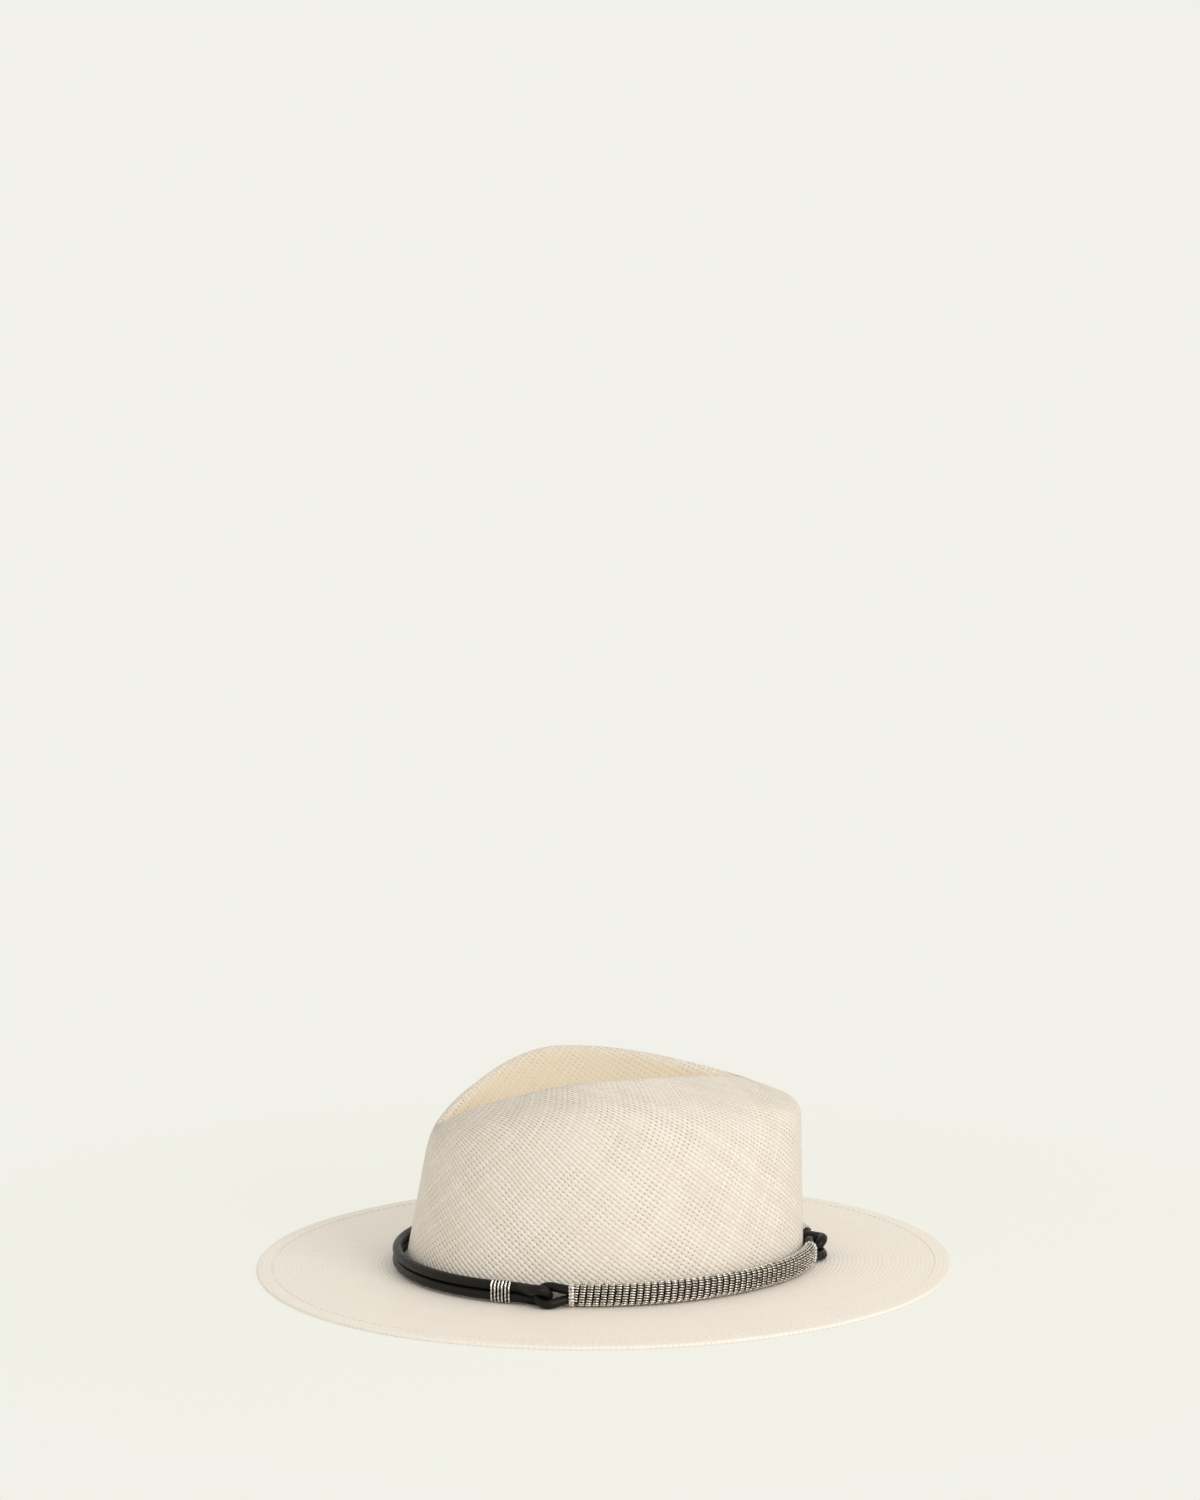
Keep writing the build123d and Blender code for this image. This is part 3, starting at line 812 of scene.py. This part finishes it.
seam_spacing = 3.4 * mm
seam_stitch = (2.2 * mm, 0.5 * mm, 0.3 * mm)
seam_round = 0.1 * mm
seam_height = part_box("sweatband_stitching")[0].z + seam_stitch[1] / 2
seam_places = []
for d in walk(0, 360, -lining_inset - lining_thickness, seam_spacing)[:-1]:
    angle = degrees(atan2(half_width * sin(radians(d)), half_length * cos(radians(d))))
    origin = wall_point(angle, seam_height, lining_inset + lining_thickness + 0.05 * mm)
    seam_places.append(frame_at(origin, heading_at(d), -Vector((cos(radians(d)), sin(radians(d)), 0))))
piece("sweatband_stitches", bars(seam_places, seam_stitch, seam_round), straw_thread, "hat",
      ("sweatband_stitching",))

# %% [markdown]
# ## Reed and bow
# The reed is a thin split cane that stiffens the seam: its frame node has the right shape and only gets a
# finish, with long fibres. The bow of grosgrain ribbon hides the sweatband's seam at the back and shows
# which way round the hat is worn. Each wing is a flat loop that opens from the knot.

# %% Reed finish
def split_cane():
    """Split cane: pale yellow, waxy, with fibres along it."""
    material, tree, shader = new_material("split_cane")
    place = add(tree, "ShaderNodeTexCoord").outputs["Object"]
    fibre = add(tree, "ShaderNodeTexNoise", {"Vector": place, "Scale": 1 / (1.5 * mm), "Detail": 4.0})
    colour = add(tree, "ShaderNodeMix", {
        "Factor": fibre.outputs["Fac"], 6: linear("C6B38C"), 7: linear("E3D5B4")},
        data_type="RGBA").outputs[2]
    bump = add(tree, "ShaderNodeBump", {
        "Height": fibre.outputs["Fac"], "Strength": 0.3, "Distance": 0.1 * mm}).outputs[0]
    tree.links.new(colour, shader.inputs["Base Color"])
    tree.links.new(bump, shader.inputs["Normal"])
    shader.inputs["Roughness"].default_value = 0.4
    return material


def finish_node(name, material):
    """Gives a CAD node that keeps its shape a better finish."""
    data = nodes[name].data
    data.materials.clear()
    data.materials.append(material)
    print(name, "is finished as", material.name)


finish_node("sweatband_reed", split_cane())

# %% Bow
def grosgrain(name, light, deep):
    """Ribbed ribbon: a fine rib each 0.8 mm across it, drawn twice as coarse as the real one."""
    material, tree, shader = new_material(name)
    place = add(tree, "ShaderNodeTexCoord").outputs["Object"]
    rib = add(tree, "ShaderNodeTexWave", {"Vector": place, "Scale": 1 / (5 * mm)},
              bands_direction="Y").outputs["Fac"]
    # painted shade: the colour darkens between the ribs, where the bump is low
    colour = add(tree, "ShaderNodeMix", {"Factor": rib, 6: linear(deep), 7: linear(light)},
                 data_type="RGBA").outputs[2]
    bump = add(tree, "ShaderNodeBump", {"Height": rib, "Strength": 0.6, "Distance": 0.15 * mm}).outputs[0]
    tree.links.new(colour, shader.inputs["Base Color"])
    tree.links.new(bump, shader.inputs["Normal"])
    shader.inputs["Roughness"].default_value = 0.6
    shader.inputs["Sheen Weight"].default_value = 0.4
    return material


bow_low, bow_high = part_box("sweatband_bow")
bow_middle = (bow_low + bow_high) / 2
bow_half = (bow_high.y - bow_low.y) / 2
bow_tall = (bow_high.z - bow_low.z) / 2
wing_rows = 9
wing_sides = 20
wing_tip = 0.85               # beyond this share of its length a wing thins out
knot_size = (1.9 * mm, 4.0 * mm, 4.6 * mm)
knot_round = 0.7 * mm
bow_parts = []
for side in (-1, 1):
    rings = []
    for i in range(wing_rows + 1):
        t = i / wing_rows
        reach = bow_half * (0.08 + 0.92 * t)
        tip = max(0, t - wing_tip) / (1 - wing_tip)
        tall = bow_tall * (0.36 + 0.64 * t**0.7) * (1 - 0.35 * tip)
        thick = 0.75 * mm * (0.55 + 0.45 * sin(pi * min(1, t * 0.9))) * (1 - 0.7 * tip)
        lean = (bow_high.x - bow_low.x - 1.6 * mm) / (bow_high.z - bow_low.z)
        ring = []
        for n in range(wing_sides):
            a = 2 * pi * n / wing_sides
            height = tall * cos(a)
            fold = 0.12 * mm * sin(3 * a) * (1 - t)
            centre = bow_middle.x - lean * height
            ring.append(Vector((centre + (thick + fold) * sin(a), side * reach, bow_middle.z + height)))
        rings.append(ring)
    wing = skin(rings)
    bmesh.ops.holes_fill(wing, edges=[edge for edge in wing.edges if edge.is_boundary])
    close_up(wing)
    bow_parts.append(wing)
knot = bmesh.new()
bmesh.ops.create_cube(knot, size=1, matrix=Matrix.Translation(bow_middle)
                      @ Matrix.Diagonal((*knot_size, 1)))
bmesh.ops.bevel(knot, geom=knot.edges[:], offset=knot_round, offset_type="OFFSET", segments=3,
                profile=0.5, affect="EDGES", material=-1)
bow_parts.append(knot)
piece("ribbon_bow", join(bow_parts), grosgrain("grosgrain_ribbon", "3A2E28", "1E1714"), "hat",
      ("sweatband_bow",))

# %% [markdown]
# ## The leather cords
# The long cord goes round the front and the far side twice and ends in a loop at each link, where it is
# looped through the short cord. The frame's tubes already have these routes and thicknesses, so they
# stay and get the leather finish.

# %% Cords
for name in ("leather_cord", "core_cord"):
    finish_node(name, cord_leather)

# %% [markdown]
# ## The chain wrap
# The short cord is wrapped in about 45 turns of flat chain. Every link is a small bar across the chain,
# and the bars of one turn stand side by side round the doubled cord. Between the turns the black leather
# shows as a thin dark line. A bump map could draw this, but at this size the bars catch the light one by
# one, so each is a real bevelled box, set along a helix round the band. The bars are a little uneven,
# as in a chain that was wound by hand.

# %% Section of the wrap
wrap_low, wrap_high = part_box("chain_wrap")
wrap_level = (wrap_low.z + wrap_high.z) / 2
wrap_width = 7.0 * mm
wrap_half_straight = (wrap_high.z - wrap_low.z - wrap_width) / 2
wrap_grow = -wrap_low.y - half_width - wrap_width / 2
chain_thickness = 1.1 * mm
link_front, link_back = 247.0, 346.0       # directions of the two links between the cords
link_to_wrap = 12.2 * mm
end_ring_length = 3 * mm


def turned(direction, distance, grow):
    """Direction after going this far along the grown oval."""
    radius = (end_radius if on_end(direction) else side_radius) + grow
    return direction + degrees(distance / radius)


def slot_point(distance, radius, half_straight):
    """Point of an upright slot and its outward normal, both as (out, up), from the lower outer corner."""
    straight, arc = 2 * half_straight, pi * radius
    distance %= 2 * (straight + arc)
    sign = 1
    if distance > straight + arc:
        distance, sign = distance - straight - arc, -1
    if distance < straight:
        return Vector((radius, distance - half_straight)) * sign, Vector((1, 0)) * sign
    turn = (distance - straight) / radius
    normal = Vector((cos(turn), sin(turn)))
    return (Vector((0, half_straight)) + normal * radius) * sign, normal * sign


def band_frame(direction, grow, level, distance, radius, half_straight, skew=0.0):
    """Matrix on a slot-shaped sleeve round the band: x along the band, z out of the sleeve."""
    point, normal = slot_point(distance, radius, half_straight)
    outward = Vector((cos(radians(direction)), sin(radians(direction)), 0))
    origin = oval_point(direction, grow + point.x, level + point.y)
    out = outward * normal.x + up * normal.y
    along = heading_at(direction)
    return frame_at(origin, along + out.cross(along) * skew, out)


slot_length = 4 * wrap_half_straight + pi * (wrap_width - chain_thickness)
print("chain round the cord, mm:", round(slot_length / mm, 1))

# %% Bars of the chain
turn_pitch = 3.45 * mm
bars_per_turn = 22
wrap_start = turned(link_front, link_to_wrap + end_ring_length, wrap_grow)
wrap_end = turned(link_back, -link_to_wrap - end_ring_length, wrap_grow)
bar_radius = (wrap_width - chain_thickness) / 2
stops = walk(wrap_start, wrap_end, wrap_grow, turn_pitch / bars_per_turn)
uneven_skew = 0.02
uneven_lift = 0.03 * mm
random.seed(7)
bar_places = []
for i, direction in enumerate(stops):
    around = i * slot_length / bars_per_turn
    skew = -turn_pitch / slot_length + random.uniform(-uneven_skew, uneven_skew)
    place = band_frame(direction, wrap_grow, wrap_level, around, bar_radius, wrap_half_straight, skew)
    lift = random.uniform(-uneven_lift, uneven_lift)
    bar_places.append(place @ Matrix.Translation((0, 0, lift)))
bar_size = (2.85 * mm, 0.82 * mm, 0.95 * mm)
bar_round = 0.24 * mm
piece("chain_links", bars(bar_places, bar_size, bar_round), chain_silver, "hatband",
      ("chain_wrap",))
print("turns:", round(len(stops) / bars_per_turn, 1))

# %% [markdown]
# The first and the last turn are a row of larger, polished links that keep the chain from slipping off.
# At the front one the chain's last link is bent into a small eye.

# %% End rings
ring_links = 17
ring_link_size = (2.8 * mm, 1.55 * mm, 1.15 * mm)
ring_link_round = 0.32 * mm
eye_radius = 0.95 * mm
eye_wire_radius = 0.36 * mm


def end_ring(name, start, replaced, with_eye):
    """A turn of large links round both cords."""
    radius = bar_radius + 0.05 * mm
    length = 4 * wrap_half_straight + 2 * pi * radius
    direction = turned(start, end_ring_length / 2, wrap_grow)
    places = [
        band_frame(direction, wrap_grow, wrap_level, i * length / ring_links, radius, wrap_half_straight)
        for i in range(ring_links)
    ]
    parts = [bars(places, ring_link_size, ring_link_round)]
    if with_eye:
        eye = band_frame(direction, wrap_grow, wrap_level, -0.35 * mm, radius + 0.45 * mm, wrap_half_straight)
        route = [eye @ Vector((cos(a) * eye_radius, sin(a) * eye_radius, 0))
                 for a in [2 * pi * n / 16 for n in range(16)]]
        parts.append(tube(route, eye_wire_radius, 8, closed=True))
    return piece(name, join(parts), ring_silver, "hatband", (replaced,))


end_ring("front_end_links", turned(link_front, link_to_wrap, wrap_grow), "front_end_ring", True)
end_ring("back_end_links", turned(link_back, -link_to_wrap - end_ring_length, wrap_grow),
         "back_end_ring", False)

# %% [markdown]
# ## The wire bindings
# Beside each link six turns of twisted wire hold the doubled leather together. Two fine wires are twisted
# into one, and each half twist shows as a bright bead. A tube with a bumpy finish would do from afar. Here
# both wires are real tubes that wind round each other.

# %% Twisted wire
binding_turns = 6
binding_pitch = 1.8 * mm
link_to_binding = 21.3 * mm
wire_radius = 0.3 * mm
wire_offset = 0.22 * mm       # of each wire from the middle of the pair
twist_length = 3.5 * mm
leather_diameter = 5.0 * mm
leather_offset = 2.55 * mm    # of each strand from the middle of the doubled cord
leather_grow = 3.8 * mm       # from the headline to the middle of the leather
steps_per_twist = 14
binding_radius = leather_diameter / 2 + wire_offset + wire_radius + 0.01 * mm


def binding(name, link_direction, sense, replaced):
    """Turns of twisted wire round both strands of the long cord."""
    low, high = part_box(replaced)
    level = (low.z + high.z) / 2
    length = 4 * leather_offset + 2 * pi * binding_radius
    twists = round(length / twist_length)
    steps = twists * steps_per_twist
    strands = []
    for turn in range(binding_turns):
        offset = (turn - (binding_turns - 1) / 2) * binding_pitch
        direction = turned(link_direction, sense * (link_to_binding + offset), leather_grow)
        for half in (0, pi):
            route = []
            for i in range(steps):
                place = band_frame(direction, leather_grow, level, length * i / steps, binding_radius,
                                   leather_offset)
                a = 2 * pi * twists * i / steps + half + turn
                route.append(place @ Vector((cos(a) * wire_offset, 0, sin(a) * wire_offset)))
            strands.append(tube(route, wire_radius, 6, closed=True))
    return piece(name, join(strands), ring_silver, "hatband", (replaced,))


binding("front_twisted_wire", link_front, -1, "front_binding")
binding("back_twisted_wire", link_back, 1, "back_binding")
